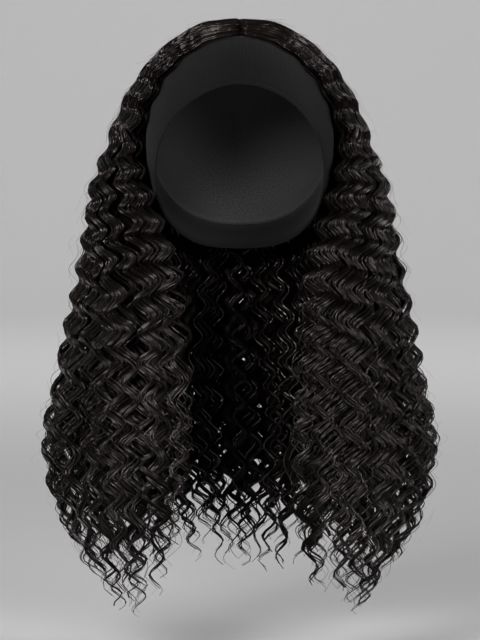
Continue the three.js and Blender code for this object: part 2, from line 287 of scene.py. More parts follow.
def band_direction(around, latitude):
    """Directions from the form's centre, by degrees round the band and above its plane."""
    around, latitude = np.radians(around), np.radians(latitude)
    crownward = np.array([0, math.sin(band_lean), math.cos(band_lean)])
    forward = np.array([0, -math.cos(band_lean), math.sin(band_lean)])
    level = forward * np.cos(around)[..., None] + np.array([1.0, 0, 0]) * np.sin(around)[..., None]
    return level * np.cos(latitude)[..., None] + crownward * np.sin(latitude)[..., None]


def band_edges(around):
    """Latitudes of the face edge and of the hair edge."""
    folded = np.minimum(around % 360, 360 - around % 360)
    middle = smooth_read(band_around, band_middle, folded)
    share = smooth_read(band_around, band_width_share, folded)
    radius = head_radius(band_direction(around, middle))
    half = np.degrees(band_width * share / radius) / 2
    return middle - half, middle + half


low, high = band_edges(np.array([0.0, 90.0, 180.0]))
print("band edges at forehead, side and nape:", low.round(1), high.round(1))

# %% The band's section
hem_share = 0.058
rib_count = 216
columns_a_rib = 3
rib_relief = 0.00026
hem_relief = 0.00035
ease_relief = 0.00022
edge_roll = [(0.0, 0.5), (0.0025, 0.72), (0.008, 0.9), (0.018, 1.0)]
face_shares = [0.034, 0.046, 0.054, 0.058, 0.062, 0.072, 0.1, 0.16, 0.25, 0.38, 0.5,
               0.62, 0.75, 0.84, 0.9, 0.928, 0.938, 0.942, 0.946, 0.956]
section_share = [share for share, _ in edge_roll] + face_shares
section_share += [1 - share for share, _ in reversed(edge_roll)]
section_lift = [lift for _, lift in edge_roll] + [1.0] * len(face_shares)
section_lift += [lift for _, lift in reversed(edge_roll)]
inside_share = [1 - share for share, _ in edge_roll[1:]] + [0.75, 0.5, 0.25]
inside_share += [share for share, _ in reversed(edge_roll[1:])]
inside_lift = [1 - lift for _, lift in edge_roll[1:]] + [0, 0, 0]
inside_lift += [1 - lift for _, lift in reversed(edge_roll[1:])]
outside_rows = len(section_share)
section_share = np.array(section_share + inside_share + section_share[:1])
section_lift = np.array(section_lift + inside_lift + section_lift[:1])
print("section points:", len(section_share) - 1)


def band_place(across, up):
    """Round the form with across, and round the knit's section with up."""
    around = across * 360
    row = np.rint(up * (len(section_share) - 1)).astype(int)
    share, lift = section_share[row], section_lift[row]
    low, high = band_edges(around)
    turn = np.radians(around)
    # The edges of a worn knit are never quite true.
    wander = 0.25 * np.sin(5 * turn + 0.6) + 0.18 * np.sin(11 * turn + 2.1)
    latitude = low + (high - low) * share + wander * (1 - np.abs(2 * share - 1) * 0.3)
    facing = (row < outside_rows) * smoothstep(lift, 0.6, 1.0)
    ribs = rib_relief * np.cos(rib_count * turn)
    near_hem = np.minimum(np.abs(share - hem_share), np.abs(1 - hem_share - share))
    hem = -hem_relief * (1 - smoothstep(near_hem, 0.001, 0.014))
    ease = ease_relief * np.sin(3 * turn + 1.0) * np.sin(math.pi * share)
    height = band_thickness * lift + facing * (ribs + hem + ease)
    return over_head(band_direction(around, latitude), height)


headband = bent_grid("knit_headband", rib_count * columns_a_rib, len(section_share) - 1, band_place,
                     closed=True)
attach(headband, "root")
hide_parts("headband")


def shell_area(piece):
    """Half the surface of a thin closed wall, which is the area of its cloth."""
    return sum(polygon.area for polygon in piece.data.polygons) / 2


# Knit 52 cm round is worn a little stretched, over 56 to 57 cm.
print("headband quads:", len(headband.data.polygons), "area:", round(shell_area(headband), 4))

# %% [markdown]
# ## The stretch cap
# Behind the band a net cap closes the wig. Rows of hair are machine sewn on narrow
# tapes that run round it. It is seen only from below and through the face opening, so it
# is a thin double wall with those tapes raised on both sides.

# %% Stretch cap
cap_thickness = 0.0018
cap_seam = math.degrees(0.0004 / head_half_width)
tape_pitch = 0.0095
tape_relief = 0.0005
cap_columns = 112
cap_half_rows = 30
cap_rows = 2 * cap_half_rows + 1


def cap_place(across, up):
    """Round the form with across. up goes to the crown outside, and back down inside."""
    around = across * 360
    row = np.rint(up * cap_rows)
    outside = row <= cap_half_rows
    share = np.where(outside, row, cap_rows - row) / cap_half_rows
    seam = band_edges(around)[1] + cap_seam
    latitude = seam + (90 - seam) * share
    rise = head_half_width * np.radians(latitude - seam)
    tape = 0.5 + 0.5 * np.cos(2 * math.pi * rise / tape_pitch)
    rim = 1 - smoothstep(share, 0.0, 0.02)
    relief = tape_relief * smoothstep(tape, 0.55, 0.95) * (1 - smoothstep(share, 0.86, 0.96)) * (1 - rim)
    height = np.where(outside, cap_thickness * (1 - 0.5 * rim) + 0.3 * relief,
                      cap_thickness * 0.5 * rim - 0.6 * relief)
    return over_head(band_direction(around, latitude), height)


stretch_cap = bent_grid("net_cap", cap_columns, cap_rows, cap_place, closed=True)
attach(stretch_cap, "root")
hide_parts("stretch_cap")
print("cap faces:", len(stretch_cap.data.polygons), "area:", round(shell_area(stretch_cap), 4))

# %% [markdown]
# ## Where the hair lies
# The hair on each side parts from the middle line, runs over the cap, and falls in two
# groups, in front of the shoulder and behind it. Guide curves give the inside and the
# outside of that mass. Any hair is then named by three shares: across, from the face edge
# round to the back, along, from the root to the tip, and depth, from inside to outside.

# %% Sizes of the fall
hair_drop = 0.490
hair_size = np.array([0.162, 0.126, 0.136])
hollow_size = np.array([0.118, 0.094, 0.094])
face_gap_half_width = 0.042
parting_height = 0.0095
parting_angles = (-24, 28)
temple_angle = 86
edge_taper = 0.13
tip_thickness = 0.0022
seat = band_thickness + 0.0013
dome_steps = 4

levels = [0, 0.09, 0.18, 0.29, 0.41, 0.54, 0.67, 0.8, 0.91, 1.0]
outer_width = [0.7, 0.77, 0.81, 0.85, 0.91, 0.97, 1.06, 1.08, 1.0, 0.84]
outer_front = [0.77, 0.8, 0.84, 0.9, 0.96, 1.0, 1.03, 1.04, 1.03, 1.0]
outer_back = [1.0, 1.04, 1.07, 1.06, 1.04, 1.02, 1.0, 0.98, 0.95, 0.91]
inner_width = [0.7, 0.69, 0.65, 0.67, 0.78, 0.91, 1.0, 1.03, 0.97, 0.86]
inner_front = [1.02, 0.98, 0.93, 0.9, 0.92, 0.96, 1.0, 1.05, 1.07, 1.1]
inner_back = [1.08, 1.06, 0.97, 0.92, 0.94, 0.97, 1.0, 1.03, 1.08, 1.1]
to_gap = [0, 0.25, 0.45, 0.7, 0.86, 0.95, 1, 1, 0.93, 0.8]
open_at = [126, 121, 115, 109, 103, 97, 90, 83, 79, 76]
close_at = [130, 126, 120, 115, 110, 108, 109, 113, 118, 122]
reach_across = [0, 0.14, 0.28, 0.4, 0.5, 0.62, 0.8, 1.0]
reach_share = [0.93, 1.0, 0.97, 0.93, 0.88, 0.91, 0.94, 0.96]
print("levels down the fall:", len(levels))


# %% One guide
def plan_angle(level, across, behind):
    """Degrees from the front, seen from above, of a guide at a level of the fall."""
    gap_edge = math.degrees(math.asin(face_gap_half_width / hollow_size[0]))
    if behind:
        return close_at[level] + (180 - close_at[level]) * (across * 2 - 1)
    face_edge = temple_angle + (gap_edge - temple_angle) * to_gap[level]
    return face_edge + (open_at[level] - face_edge) * across * 2


def plan_point(sizes, angle, z):
    """A point at a level, by its angle from the front and the plan's three half sizes."""
    deep = sizes[1] if angle < 90 else sizes[2]
    turn = math.radians(angle)
    return np.array([sizes[0] * math.sin(turn), -deep * math.cos(turn), z])


def guide(across, behind):
    """The inside and the outside of the hair, from the parting to the tip."""
    from_face = smoothstep(across, -edge_taper / 2, edge_taper)
    from_split = smoothstep(abs(across - 0.5), -edge_taper, edge_taper)
    share = float(from_face * from_split)
    lean = math.radians(parting_angles[0] + (parting_angles[1] - parting_angles[0]) * across)
    root = np.array([0, math.sin(lean), math.cos(lean)])
    top_angle = plan_angle(0, across, behind)
    level = plan_point((1, 1, 1), top_angle, 0)
    top_sizes = hair_size * (outer_width[0], outer_front[0], outer_back[0])
    top_reach = np.linalg.norm(plan_point(top_sizes, top_angle, 0))
    side_lift = seat + (top_reach - head_radius(level) - seat) * share
    inner, outer = [], []
    for k in range(dome_steps):
        u = k / dome_steps
        direction = unit(root + (level - root) * u)
        lift = parting_height + (side_lift - parting_height) * u**1.6
        inner.append(over_head(direction, np.array(seat)))
        outer.append(over_head(direction, np.array(max(lift, seat + tip_thickness))))
    reach = float(smooth_read(reach_across, reach_share, across)) * hair_drop
    for i, fall in enumerate(levels):
        z = -head_crown_height + (head_crown_height - reach) * fall
        angle = plan_angle(i, across, behind)
        near = clear_of_head(plan_point(hollow_size * (inner_width[i], inner_front[i], inner_back[i]),
                                        angle, z), seat)
        far = plan_point(hair_size * (outer_width[i], outer_front[i], outer_back[i]), angle, z)
        outward = plan_point((1, 1, 1), angle, 0)
        inner.append(near)
        outer.append(near + outward * max((far - near) @ outward, 3 * tip_thickness) * share)
    return np.array(inner), np.array(outer)


print("one guide has", len(guide(0.2, False)[0]), "points")


# %% Smooth curves through the guides
def centripetal(points, steps):
    """A centripetal Catmull-Rom curve through the points, with that many steps a span."""
    ends = [2 * points[0] - points[1]], [2 * points[-1] - points[-2]]
    p = np.concatenate([ends[0], points, ends[1]])
    gap = np.sqrt(np.linalg.norm(np.diff(p, axis=0), axis=1))
    t = (np.arange(steps) / steps)[:, None]
    spans = []
    for i in range(1, len(p) - 2):
        a, b, c = gap[i - 1], gap[i], gap[i + 1]
        start = ((p[i] - p[i - 1]) / a - (p[i + 1] - p[i - 1]) / (a + b) + (p[i + 1] - p[i]) / b) * b
        end = ((p[i + 1] - p[i]) / b - (p[i + 2] - p[i]) / (b + c) + (p[i + 2] - p[i + 1]) / c) * b
        rise = p[i + 1] - p[i]
        spans.append(p[i] + start * t + (3 * rise - 2 * start - end) * t**2
                     + (start + end - 2 * rise) * t**3)
    return np.concatenate(spans + [points[-1:]])


guides_a_fall = 33
guide_samples = 260
steps_a_span = 24


def guide_columns(behind):
    """Rows of evenly spaced points down each guide of one fall."""
    columns = []
    nearest = 0.5 if behind else 0.0
    for across in np.linspace(nearest, nearest + 0.5, guides_a_fall):
        inner, outer = guide(across, behind)
        inner, outer = centripetal(inner, steps_a_span), centripetal(outer, steps_a_span)
        run = np.linalg.norm(np.diff((inner + outer) / 2, axis=0), axis=1)
        run = np.concatenate([[0], np.cumsum(run)])
        even = np.linspace(0, run[-1], guide_samples)
        columns.append([[np.interp(even, run, line[:, k]) for k in range(3)] for line in (inner, outer)])
    return np.array(columns).transpose(1, 0, 3, 2)


guide_grids = np.concatenate([guide_columns(False), guide_columns(True)], axis=1)
print("guide grid:", guide_grids.shape)


# %% Reading a place in the hair
def hair_place(across, along, depth, behind):
    """Points of the hair by their three shares, and the directions out of it."""
    column = np.clip(across * 2 - behind, 0, 1) * (guides_a_fall - 1)
    i = np.clip(column.astype(int), 0, guides_a_fall - 2)
    f = (column - i)[..., None]
    i = i + behind * guides_a_fall
    row = np.clip(along, 0, 1) * (guide_samples - 1)
    j = np.clip(row.astype(int), 0, guide_samples - 2)
    g = (row - j)[..., None]
    walls = [(grid[i, j] * (1 - f) + grid[i + 1, j] * f) * (1 - g)
             + (grid[i, j + 1] * (1 - f) + grid[i + 1, j + 1] * f) * g for grid in guide_grids]
    through = walls[1] - walls[0]
    point = walls[0] + through * depth[..., None]
    # A hair longer than the guides hangs straight on below them.
    point[..., 2] -= np.maximum(along - 1, 0) * hair_drop
    return point, unit(through)


shown = hair_place(np.array([0.1]), np.array([0.5]), np.array([1.0]), False)[0][0]
print("outside of a front lock, half way down:", shown.round(3))

# %% [markdown]
# ## The locks
# Deep-wave hair is set in flattened locks that swing from side to side as they fall, and
# stand out where they swing away from the face. Neighbours swing in step, so their bends
# line up in rows. Blender's hair curves could carry more hairs, but the wig has to be a plain
# mesh. So a lock here is a sheaf of fine strands laid over a plain core, and each strand is
# a thin tube. Lower layers of locks, thick cores, loose strands, stray hairs and frizz fill
# in round them. They are made together from arrays, one joined mesh a section.

# %% Kinds of lock
waves_down = 20


def round_section(sides):
    turn = np.arange(sides) * 2 * math.pi / sides
    return np.stack([-np.cos(turn), np.sin(turn)], axis=1)


def lock_kind(count, strands, width, thick, depth, start, end, section, steps, stray, swing,
              inset=0.0, rise=0.0, bulk=0.0, shaded=False, short=False):
    """One kind of lock: its number, its strands, and its sizes in metres or as shares.

    A short one has its own length as its end. steps is the number of rings in each wave. A shaded one
    takes the painted-shade material.
    """
    return dict(count=count, strands=strands, width=width, thick=thick, depth=depth, start=start,
                end=end, section=section, steps=steps, stray=stray, swing=swing, inset=inset,
                rise=rise, bulk=bulk, shaded=shaded, short=short)


def core_locks(count):
    """Thick plain locks deep in the hair, which keep light from showing through it. They take the darker
    material of painted shade.
    """
    return lock_kind(count, 1, 0.019, 0.009, (0.25, 0.48), (0.0, 0.02), (0.85, 0.9),
                     round_section(4), 6, 0.1, 0.8, inset=0.07, shaded=True)


def strand_locks(count, strands, depth, bulk, width=0.0068, steps=7, stray=0.5, shaded=False):
    """Sheaves of strands, the first of them a core. bulk is half the depth of a sheaf."""
    return lock_kind(count, strands, width, 0.0011, depth, (0.0, 0.008), (0.93, 1.02),
                     round_section(3), steps, stray, 1.0, bulk=bulk, shaded=shaded)


def loose_strands(count):
    """Single strands near the outside, which start at the parting or a little below it."""
    return lock_kind(count, 1, 0.0008, 0.0008, (0.85, 1.0), (0.0, 0.35), (0.85, 1.0),
                     round_section(3), 8, 0.6, 1.0)


def lower_strands(count):
    """Strands that have worked loose from the locks and fill the lower third."""
    return lock_kind(count, 1, 0.001, 0.001, (0.15, 1.0), (0.5, 0.66), (0.88, 1.0),
                     round_section(3), 6, 0.9, 0.9)


def stray_hairs(count):
    """Fine hairs that lift off the outside."""
    return lock_kind(count, 1, 0.00035, 0.00035, (0.98, 1.02), (0.05, 0.8), (0.08, 0.25),
                     round_section(3), 10, 1.2, 1.1, rise=0.004, short=True)


def frizz(count):
    """Short fine hairs that have sprung out of the set."""
    return lock_kind(count, 1, 0.00027, 0.00027, (0.96, 1.02), (0.02, 0.95), (0.025, 0.05),
                     round_section(3), 10, 2.0, 1.0, rise=0.006, short=True)


# The falls in front are seen from outside, and those behind are seen from both sides.
# Kinds marked shaded take the second hair material, which paints in shade.
front_kinds = [core_locks(4),
               strand_locks(3, 4, (0.02, 0.3), 0.004, 0.009, 6, shaded=True),
               strand_locks(5, 4, (0.5, 0.78), 0.004, 0.0095, 5, shaded=True),
               strand_locks(6, 5, (0.82, 0.92), 0.002, 0.0085, 7, shaded=True),
               strand_locks(8, 8, (0.93, 1.02), 0.0018, 0.0072, 9, stray=0.32),
               loose_strands(7), lower_strands(30), stray_hairs(14), frizz(110)]
rear_kinds = [core_locks(4),
              strand_locks(5, 4, (0.0, 0.2), 0.003, 0.008, 6),
              strand_locks(4, 4, (0.5, 0.8), 0.004, 0.0095, 5, shaded=True),
              strand_locks(5, 5, (0.82, 0.92), 0.002, 0.0085, 6, shaded=True),
              strand_locks(7, 7, (0.93, 1.02), 0.0018, 0.0072, 7, stray=0.32),
              loose_strands(5), stray_hairs(8), frizz(60)]
print("strands a front section:", sum(kind["count"] * kind["strands"] for kind in front_kinds))


# %% Rows of crests
# Each row wave has a height, its turns round the fall and down it, and a share of the start.
row_waves = [(0.6, 2.6, 1.3, 1), (0.5, 5.9, -2.2, 2), (0.45, 12.7, 3.7, 3)]
row_start = {1: 1.7, -1: 4.2}


def drift(rng, locks, along, rate):
    """A smooth random drift down each lock, about -1 to 1."""
    total = 0
    for octave in (1.0, 2.3, 4.1):
        turn = rng.uniform(0, 2 * math.pi, (locks, 1))
        own_rate = rate * octave * rng.uniform(0.8, 1.2, (locks, 1))
        total = total + np.sin(2 * math.pi * own_rate * along + turn) / octave
    return total / 1.5


def row_phase(across, along, side):
    """How far the rows of crests rise and dip, shared by all the locks of one side."""
    field = 0
    for height, turns_round, turns_down, start_share in row_waves:
        turns = turns_round * across + turns_down * along
        field = field + height * np.sin(2 * math.pi * turns + start_share * row_start[side])
    return field * (0.45 + 0.8 * smoothstep(along, 0.4, 0.95))


face_edge_run = np.linalg.norm(np.diff(guide_grids[1, 0], axis=0), axis=1).sum()
print("wave pitch about", round(float(face_edge_run) / waves_down * 1000, 1), "mm")


# %% Room in the hair
def through_depth(across, along, behind):
    """Metres from the inside of the hair to its outside."""
    inside = hair_place(across, along, across * 0, behind)[0]
    return np.linalg.norm(hair_place(across, along, across * 0 + 1, behind)[0] - inside, axis=-1)


def across_room(across, along, depth, behind):
    """Metres of width that one whole share round the fall takes up, at each place."""
    nudge = 0.01
    across = np.clip(across, 0.5 * behind + nudge, 0.5 + 0.5 * behind - nudge)
    one = hair_place(across - nudge, along, depth, behind)[0]
    other = hair_place(across + nudge, along, depth, behind)[0]
    return np.linalg.norm(other - one, axis=-1) / (2 * nudge)


print("depth of the front hair half way down:",
      through_depth(np.array([0.1]), np.array([0.5]), False).round(3))

# %% The course of each lock
section_share = 0.25
course_drift = 1.6
depth_drift = 0.08
tips_a_section = 4
gather_from = 0.8
gather_pull = (0.2, 0.6)
gathered_depth = (0.3, 0.75)
parting_edge = 0.08
flat_on_band = 0.62
lock_cover = 1.25


def lock_lines(rng, kind, section_from, behind):
    """The shares down the middle of each lock of one kind, with its sizes and its room."""
    count, stray = kind["count"], kind["stray"]
    start = rng.uniform(*kind["start"], (count, 1))
    end = rng.uniform(*kind["end"], (count, 1))
    if kind["short"]:
        end = np.minimum(start + end, 1.0)
    steps = int(round(kind["steps"] * waves_down * float((end - start).mean())))
    along = start + (end - start) * np.linspace(0, 1, steps + 1)
    loose = min(stray, 0.6)
    slot = (np.arange(count)[:, None] + 0.5 + rng.uniform(-loose, loose, (count, 1))) / count
    across = section_from + section_share * slot
    across = across + section_share / max(count, 9) * stray * course_drift * drift(rng, count, along, 1.1)
    # Near the tips the locks gather, and between the gathers the hair opens.
    tip_slot = (np.floor(np.clip(slot, 0, 0.999) * tips_a_section) + 0.5) / tips_a_section
    tip_across = section_from + section_share * (tip_slot + rng.uniform(-0.06, 0.06, (count, 1)))
    gather = smoothstep(along, gather_from, 1.0) * rng.uniform(*gather_pull, (count, 1))
    across = across + (tip_across - across) * gather
    depth = rng.uniform(*kind["depth"], (count, 1))
    depth = depth + depth_drift * stray * drift(rng, count, along, 1.6)
    # The roots come out of the cap, so a lock starts deeper than it runs.
    low_root = np.maximum(depth - 0.5, 0)
    depth = low_root + (depth - low_root) * smoothstep(along, -0.012, 0.008)
    depth = depth + (rng.uniform(*gathered_depth, (count, 1)) - depth) * gather * 0.6
    # The face edge lies flat on the band beside the parting, and the hair rises behind it.
    edge = (1 - smoothstep(across, 0.0, parting_edge)) * (1 - smoothstep(along, 0.04, 0.24))
    depth = depth * (1 - flat_on_band * edge)
    deep = through_depth(across, along, behind)
    # A stray hair lifts off towards its tip.
    lifted = kind["rise"] * rng.uniform(0, 1, (count, 1)) * np.linspace(0, 1, steps + 1)**2
    depth = depth + lifted / deep
    room = across_room(across, along, depth, behind)
    width = np.minimum(kind["width"], lock_cover * room * section_share / count)
    thick = np.minimum(np.minimum(kind["thick"], 0.8 * width + 0.0002), 0.3 * deep)
    return dict(along=along, across=across, depth=depth, deep=deep, room=room, width=width,
                thick=thick, shaded=np.full((count, 1), kind["shaded"]))


sample_lines = lock_lines(np.random.default_rng(1), core_locks(4), 0.0, 0)
print("rings down a core lock:", sample_lines["along"].shape[1])

# %% Strands over the core of a lock
draw_from = 0.2
draw_to = 0.06
core_width_share = 0.72
core_narrowing = 0.4
strand_cover = 1.15


def near_own_tip(along):
    """From 0 to 1 over the stretch where the strands of a lock draw together."""
    return smoothstep(along, along[:, -1:] - draw_from, along[:, -1:] - draw_to)


def lay_strands(rng, kind, lines):
    """The first strand of a lock is its core, and the others lie side by side over it."""
    strands = kind["strands"]
    total = kind["count"] * strands
    paths = {name: np.repeat(values, strands, axis=0) for name, values in lines.items()}
    along, width, deep = paths["along"], paths["width"], paths["deep"]
    along = along[:, :1] + (along - along[:, :1]) * rng.uniform(0.95, 1.0, (total, 1))
    member = np.arange(total)[:, None] % strands
    turn = (member - 0.5 + rng.uniform(-0.35, 0.35, (total, 1))) / (strands - 1)
    turn = math.pi * (turn + 0.3 / strands * drift(rng, total, along, 4.0))
    is_core = member == 0
    place = np.where(is_core, 0, -np.cos(turn))
    lower = np.where(is_core, 1, 1 - np.sin(turn)) * kind["bulk"]
    # The lower locks spread, and the strands of each draw together into a point at its tip.
    drawn = 1 - 0.9 * near_own_tip(along)
    place = place * (1 + 0.5 * smoothstep(along, 0.45, 0.85)) * drawn
    core_width = core_width_share - core_narrowing * smoothstep(along, 0.72, 0.95)
    paths["along"] = along
    paths["across"] = paths["across"] + place * width / 2 / paths["room"]
    paths["depth"] = paths["depth"] - lower * drawn * smoothstep(along, 0.0, 0.1) / deep
    paths["thick"] = np.where(is_core, np.minimum(1.7 * kind["bulk"], 0.3 * deep), paths["thick"])
    paths["width"] = np.where(is_core, core_width, strand_cover / (strands - 1)) * width
    # The core of every lock takes the painted-shade material.
    paths["shaded"] = paths["shaded"] | is_core
    return paths


def strand_paths(rng, kind, section_from, behind):
    """The course of every strand of one kind, kept inside its own fall."""
    paths = lock_lines(rng, kind, section_from, behind)
    if kind["strands"] > 1:
        paths = lay_strands(rng, kind, paths)
    low, high = 0.5 * behind, 0.5 + 0.5 * behind
    paths["across"] = np.clip(paths["across"], low + 0.002 + kind["inset"],
                              high - 0.001 - kind["inset"] * 0.3)
    return paths


sample_paths = strand_paths(np.random.default_rng(1), front_kinds[1], 0.0, 0)
print("strands of the lowest front locks:", len(sample_paths["along"]))

# %% The wave of each strand
swing_side = 0.0058
swing_out = 0.0031
swing_lag = 0.45
levelling = 0.9
size_drift = 0.22
strand_size_drift = 0.08
# Radians by which the strands of a lock are out of step, near the root and as much more below.
apart_at_root = 0.13
apart_below = 0.5
loosening = 4.0


def wave_phase(rng, kind, paths, side):
    """Where each strand stands in its wave, and how far its swing differs from the rest."""
    along, strands = paths["along"], kind["strands"]
    locks = len(along) // strands
    own = rng.uniform(-1, 1, (locks, 1)) + 0.8 * drift(rng, locks, along[::strands], 2.0)
    size = size_drift * drift(rng, locks, along[::strands], 2.6)
    own, size = np.repeat(own, strands, axis=0), np.repeat(size, strands, axis=0)
    own = own * (1 + loosening * smoothstep(along, 0.45, 0.9))
    phase = 2 * math.pi * waves_down * along + row_phase(paths["across"], along, side)
    phase = phase + kind["stray"] * own
    if strands > 1:
        total = len(along)
        apart = apart_at_root + apart_below * smoothstep(along, 0.5, 0.85)
        apart = apart * (1 - 0.7 * near_own_tip(along))
        phase = phase + (rng.uniform(-1, 1, (total, 1)) + drift(rng, total, along, 3.0)) * apart
        size = size + rng.uniform(-strand_size_drift, strand_size_drift, (total, 1))
        size = size + strand_size_drift * drift(rng, total, along, 5.0)
    return phase, size


def strand_frames(rng, kind, paths, behind, side):
    """Waved centre lines, and the directions across and out of each strand's face."""
    along, depth = paths["along"], paths["depth"]
    point, out = hair_place(paths["across"], along, depth, behind)
    course = unit(np.gradient(point, axis=1))
    sideways = np.cross(course, out)
    # Where the hair falls it swings level, even on a slanting course.
    sideways[..., 2] *= 1 - levelling * smoothstep(-course[..., 2], 0.35, 0.65)
    sideways = unit(sideways)
    phase, size = wave_phase(rng, kind, paths, side)
    grown = kind["swing"] * (1 + size) * (1 - 0.12 * smoothstep(along, 0.8, 1))
    grown_out = grown * smoothstep(along, 0.05, 0.3) * (0.35 + 0.65 * smoothstep(depth, 0.0, 0.5))
    grown_side = grown * smoothstep(along, 0.02, 0.17)
    radial = out * np.cos(phase - swing_lag)[..., None]
    swing = sideways * -np.cos(phase)[..., None]
    waved = (point + radial * (swing_out * grown_out)[..., None]
             + swing * (swing_side * grown_side)[..., None])
    tangent = unit(np.gradient(waved, axis=1))
    facing = unit(out + 0.15 * (radial + swing) * grown_side[..., None])
    wide = unit(np.cross(tangent, facing))
    return waved, wide, unit(np.cross(wide, tangent))


print("swing to each side and outwards:", swing_side, swing_out, "m")

# %% From centre lines to tubes
root_overlap = 0.0012
least_lift = band_thickness + 0.0003
strand_sizes = (0.65, 1.25)
tip_taper = 0.12


def strand_tubes(rng, kind, section_from, side):
    """Points of every strand of one kind, its length so far, and whether it takes the painted shade."""
    behind = int(section_from >= 0.5)
    paths = strand_paths(rng, kind, section_from, behind)
    waved, wide, normal = strand_frames(rng, kind, paths, behind, side)
    along = paths["along"]
    total = len(along)
    size = rng.uniform(*strand_sizes, (total, 1)) * (1 + 0.12 * drift(rng, total, along, 5.0))
    first, last = along[:, :1], along[:, -1:]
    taper = smoothstep(along, first - 0.02, first + 0.02) * 0.4 + 0.6
    taper = taper * (1 - 0.8 * smoothstep(along, last - tip_taper, last))
    half = 0.5 * paths["width"] * size * taper
    thick = 0.5 * paths["thick"] * size * (0.25 + 0.75 * taper)
    shape = kind["section"]
    points = (waved[:, :, None] + wide[:, :, None] * (half[..., None] * shape[:, 0])[..., None]
              + normal[:, :, None] * (thick[..., None] * shape[:, 1])[..., None])
    # At the parting the roots of the two sides pass each other, so that no gap shows.
    points[..., 0] -= root_overlap * (1 - smoothstep(along, 0.0, 0.014))[..., None]
    points = clear_of_head(points, least_lift)
    run = np.cumsum(np.linalg.norm(np.diff(waved, axis=1), axis=-1), axis=1)
    return points, np.concatenate([np.zeros((total, 1)), run], axis=1), paths["shaded"][:, 0]


def tube_faces(count, rings, sides, first):
    """Vertex numbers of the quads of each tube, and of the faces that close its two ends."""
    lock = np.arange(count)[:, None, None] * rings * sides + first
    ring = np.arange(rings - 1)[:, None] * sides
    here = np.arange(sides)
    after = (here + 1) % sides
    quads = np.stack(np.broadcast_arrays(lock + ring + here, lock + ring + after,
                                         lock + ring + sides + after, lock + ring + sides + here), axis=-1)
    starts = lock[:, 0] + here[::-1]
    ends = lock[:, 0] + (rings - 1) * sides + here
    return quads.reshape(-1, 4), np.concatenate([starts, ends])


def tube_uvs(rng, kind, length, sides):
    """UV corners of the quads and of the ends. u goes round a tube and v down it, in metres."""
    count, rings = length.shape
    tint = rng.uniform(0, 40, (count, 1, 1))
    u = tint + np.arange(sides + 1) / sides * max(kind["width"] / kind["strands"], 0.002) * 2
    u = np.broadcast_to(u, (count, rings - 1, sides + 1))
    upper = np.broadcast_to(length[:, :-1, None], (count, rings - 1, sides))
    lower = np.broadcast_to(length[:, 1:, None], (count, rings - 1, sides))
    left, right = u[..., :-1], u[..., 1:]
    quad_uv = np.stack([np.stack([left, upper], -1), np.stack([right, upper], -1),
                        np.stack([right, lower], -1), np.stack([left, lower], -1)], axis=-2)
    end_uv = np.zeros((2, count, sides, 2))
    end_uv[..., 0] = tint[:, 0]
    end_uv[1, ..., 1] = length[:, -1:]
    return [quad_uv.reshape(-1, 2), end_uv.reshape(-1, 2)]


sample_faces = tube_faces(1, 3, 4, 0)
print("quads in a short tube:", len(sample_faces[0]), "end faces:", len(sample_faces[1]))


# %% From arrays to a mesh
def signed_volume(mesh):
    """The volume inside a closed mesh, negative where its faces look inwards."""
    mesh.calc_loop_triangles()
    corners = np.empty(len(mesh.loop_triangles) * 3, np.int32)
    mesh.loop_triangles.foreach_get("vertices", corners)
    places = np.empty(len(mesh.vertices) * 3, np.float32)
    mesh.vertices.foreach_get("co", places)
    a, b, c = places.reshape(-1, 3)[corners].reshape(-1, 3, 3).transpose(1, 0, 2)
    return float((a * np.cross(b, c)).sum() / 6)


def section_arrays(rng, kinds, section_from, side):
    """Points, face corners, face sizes, UVs and painted-shade flags of all the tubes of a section."""
    points, corners, sizes, uvs, in_painted_shade, base = [], [], [], [], [], 0
    for kind in kinds:
        place, length, shaded = strand_tubes(rng, kind, section_from, side)
        count, rings, sides = place.shape[:3]
        quads, ends = tube_faces(count, rings, sides, base)
        points.append(place.reshape(-1, 3))
        corners += [quads.ravel(), ends.ravel()]
        sizes += [np.full(len(quads), 4), np.full(len(ends), sides)]
        uvs += tube_uvs(rng, kind, length, sides)
        in_painted_shade += [np.repeat(shaded, (rings - 1) * sides), shaded, shaded]
        base += count * rings * sides
    return [np.concatenate(parts) for parts in (points, corners, sizes, uvs, in_painted_shade)]


def mesh_from_arrays(name, points, corners, sizes, uvs, in_painted_shade):
    """One mesh of many closed tubes, with its faces turned outwards."""
    mesh = bpy.data.meshes.new(name)
    mesh.vertices.add(len(points))
    mesh.vertices.foreach_set("co", points.astype(np.float32).ravel())
    mesh.loops.add(len(corners))
    mesh.loops.foreach_set("vertex_index", corners.astype(np.int32))
    mesh.polygons.add(len(sizes))
    starts = np.concatenate([[0], np.cumsum(sizes)[:-1]])
    mesh.polygons.foreach_set("loop_start", starts.astype(np.int32))
    mesh.polygons.foreach_set("use_smooth", np.ones(len(sizes), bool))
    # Faces in painted shade take the second, darker hair material.
    mesh.polygons.foreach_set("material_index", in_painted_shade.astype(np.int32))
    mesh.uv_layers.new(name="UVMap").uv.foreach_set("vector", uvs.astype(np.float32).ravel())
    mesh.update(calc_edges=True)
    if signed_volume(mesh) < 0:
        mesh.flip_normals()
    return mesh


print("band as a volume:", round(signed_volume(headband.data) * 1e6, 1), "ml")

# %% The eight sections of hair
sections = [("front", 0.0), ("side", 0.25), ("rear", 0.5), ("back", 0.75)]
first_seed = 100
seeds_a_section = 10


def hair_section(name, node, section_from, side, seed):
    """All the locks of a section, joined. side is 1 for the wearer's left and -1 for the right."""
    kinds = front_kinds if section_from < 0.5 else rear_kinds
    points, *rest = section_arrays(np.random.default_rng(seed), kinds, section_from, side)
    piece = bpy.data.objects.new(name, mesh_from_arrays(name, points * [side, 1, 1], *rest))
    bpy.context.scene.collection.objects.link(piece)
    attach(piece, "root")
    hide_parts(node)
    return piece


def triangles(piece):
    piece.data.calc_loop_triangles()
    return len(piece.data.loop_triangles)


